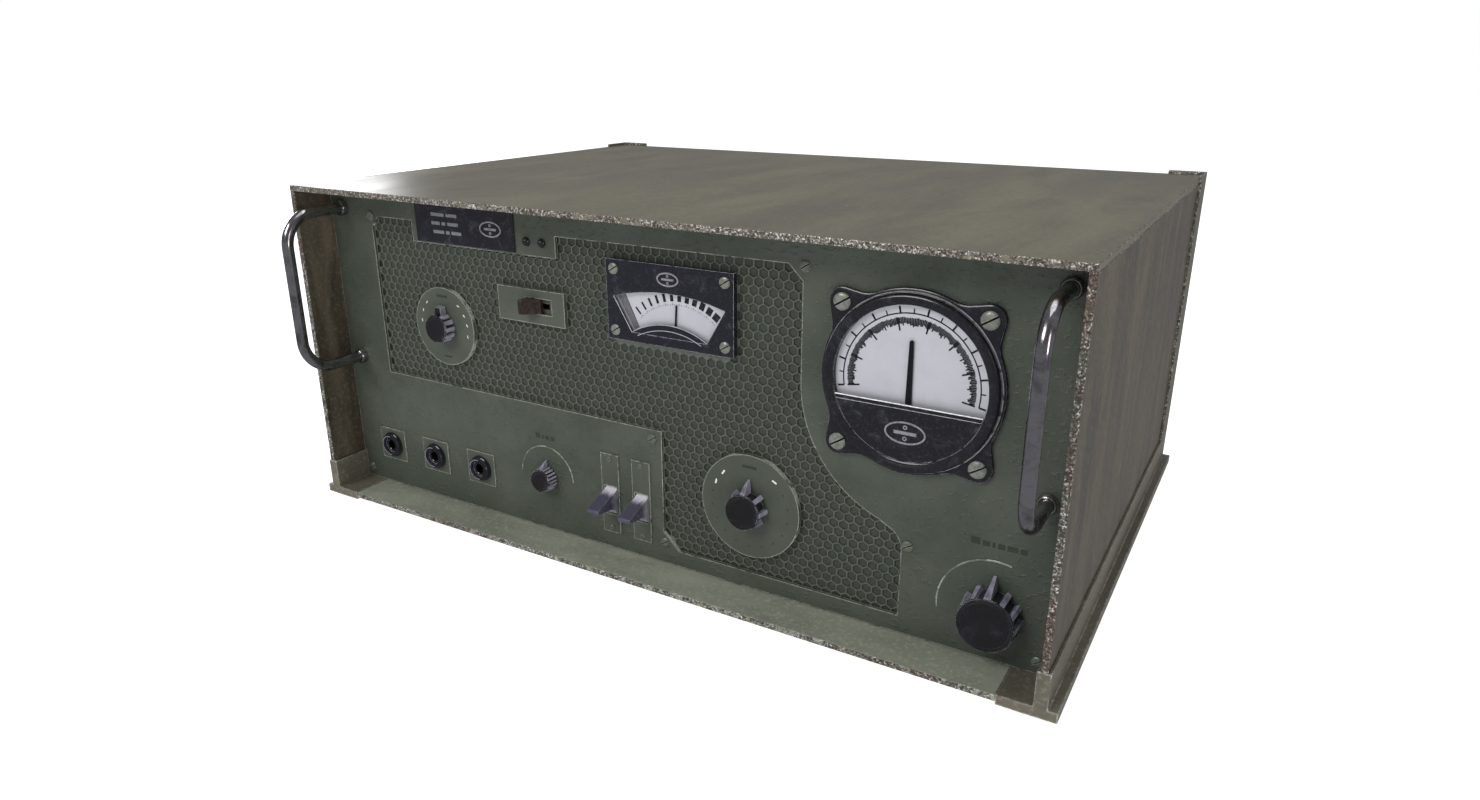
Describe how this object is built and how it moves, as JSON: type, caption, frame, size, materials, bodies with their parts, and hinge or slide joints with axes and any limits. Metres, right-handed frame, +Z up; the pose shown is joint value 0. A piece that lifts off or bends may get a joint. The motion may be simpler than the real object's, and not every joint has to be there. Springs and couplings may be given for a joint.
{
  "type": "vintage tube receiver",
  "caption": "Steel-cased tube radio receiver on skid rails: recessed panel with honeycomb vent, turning knobs, lever switches, jack sockets, fan and round meters, two bar handles.",
  "frame": {"origin": "centre of the bounding box in plan, on the plane under the rubber feet", "axes": "+X to the operator's right along the front, +Y from the front panel to the rear, +Z up"},
  "size_m": [0.503, 0.3754, 0.219],
  "materials": {
    "case_paint": "worn satin olive-grey enamel",
    "panel_paint": "matt dark green wrinkle enamel, worn",
    "grille_paint": "matt dark green enamel worn bright on the edges",
    "plate_black": "gloss black",
    "lamp_lens": "clear gloss",
    "knob_black": "glossy black phenolic",
    "button_brown": "glossy dark brown",
    "meter_black": "glossy black phenolic",
    "jack_black": "glossy black",
    "dial_white": "matt white",
    "needle_black": "painted black",
    "window_clear": "clear gloss",
    "chrome": "polished, scuffed",
    "shaft_steel": "turned",
    "screw_steel": "dull, touched with paint",
    "rubber": "matt black",
    "switch_steel": "dull plated",
    "chassis_aluminium": "dull",
    "core_paint": "black varnish",
    "tube_glass": "clear",
    "phenolic_brown": "matt",
    "brass": "dull"
  },
  "bodies": {
    "case": {"top_cover": "case_paint", "left_side_panel": "case_paint", "right_side_panel": "case_paint", "floor_pan": "case_paint", "rear_panel": "case_paint", "left_skid_rail": "case_paint", "right_skid_rail": "case_paint", "left_rear_post": "case_paint", "right_rear_post": "case_paint", "front_panel": "panel_paint", "selector_dial_plate": "panel_paint", "tone_dial_plate": "panel_paint", "control_plates": "panel_paint", "honeycomb_grille": "grille_paint", "grille_backing": "grille_paint", "name_plate": "plate_black", "indicator_lamps": "lamp_lens", "level_meter_housing": "meter_black", "level_meter_cover": "meter_black", "tuning_meter_housing": "meter_black", "jack_sockets": "jack_black", "fuse_holder": "jack_black", "level_meter_dial": "dial_white", "tuning_meter_dial": "dial_white", "level_meter_window": "window_clear", "tuning_meter_window": "window_clear", "left_handle": "chrome", "right_handle": "chrome", "handle_collars": "chrome", "meter_screws": "screw_steel", "panel_screws": "screw_steel", "rubber_feet": "rubber", "lead_gland": "rubber", "switch_bodies": "switch_steel", "potentiometers": "switch_steel", "chassis": "chassis_aluminium", "tuning_capacitor": "chassis_aluminium", "if_transformer_cans": "chassis_aluminium", "filter_capacitors": "chassis_aluminium", "transformers": "core_paint", "vacuum_tubes": "tube_glass", "tube_sockets": "phenolic_brown", "rotary_switch": "phenolic_brown", "antenna_terminals": "brass"},
    "selector_control": {"selector_knob": "knob_black", "selector_shaft": "shaft_steel"},
    "fine_control": {"fine_knob": "knob_black", "fine_shaft": "shaft_steel", "drive_pinion": "brass"},
    "tuning_rotor": {"capacitor_rotor": "chassis_aluminium", "drive_gear": "brass"},
    "tone_control": {"tone_knob": "knob_black", "tone_shaft": "shaft_steel"},
    "volume_control": {"volume_knob": "knob_black", "volume_shaft": "shaft_steel"},
    "slide_control": {"slide_button": "button_brown"},
    "left_boost": {"left_boost_lever": "knob_black"},
    "right_boost": {"right_boost_lever": "knob_black"},
    "level_pointer": {"level_meter_needle": "needle_black"},
    "tuning_pointer": {"tuning_meter_needle": "needle_black"}
  },
  "joints": [
    {"name": "selector_turn", "type": "hinge", "parent": "case", "child": "selector_control", "pos_m": [-0.1467, -0.14025, 0.1327], "axis": [0, 1, 0], "range_deg": [-90, 90]},
    {"name": "capacitor_turn", "type": "hinge", "parent": "case", "child": "tuning_rotor", "pos_m": [-0.0703, -0.10025, 0.0861], "axis": [0, 1, 0], "range_deg": [-75, 75]},
    {"name": "fine_turn", "type": "hinge", "parent": "case", "child": "fine_control", "pos_m": [-0.0703, -0.14025, 0.046], "axis": [0, 1, 0], "range_deg": [-300, 300]},
    {"name": "tone_turn", "type": "hinge", "parent": "case", "child": "tone_control", "pos_m": [0.0748, -0.14025, 0.0612], "axis": [0, 1, 0], "range_deg": [-150, 150]},
    {"name": "volume_turn", "type": "hinge", "parent": "case", "child": "volume_control", "pos_m": [0.211, -0.14025, 0.0368], "axis": [0, 1, 0], "range_deg": [-150, 150]},
    {"name": "slide_move", "type": "slide", "parent": "case", "child": "slide_control", "axis": [1, 0, 0], "range_m": [0, 0.0072]},
    {"name": "left_boost_tip", "type": "hinge", "parent": "case", "child": "left_boost", "pos_m": [-0.0206, -0.13425, 0.0422], "axis": [-1, 0, 0], "range_deg": [0, 20]},
    {"name": "right_boost_tip", "type": "hinge", "parent": "case", "child": "right_boost", "pos_m": [0.0019, -0.13425, 0.0422], "axis": [-1, 0, 0], "range_deg": [0, 20]},
    {"name": "level_swing", "type": "hinge", "parent": "case", "child": "level_pointer", "pos_m": [0.1624, -0.14025, 0.133], "axis": [0, 1, 0], "range_deg": [-48, 48], "stiffness_Nm_per_rad": 0.0001},
    {"name": "tuning_swing", "type": "hinge", "parent": "case", "child": "tuning_pointer", "pos_m": [0.025, -0.13325, 0.1095], "axis": [0, 1, 0], "range_deg": [-32, 24], "stiffness_Nm_per_rad": 0.0002}
  ],
  "couplings": [
    {"joint": "fine_turn", "follows": "capacitor_turn", "ratio": -4}
  ]
}
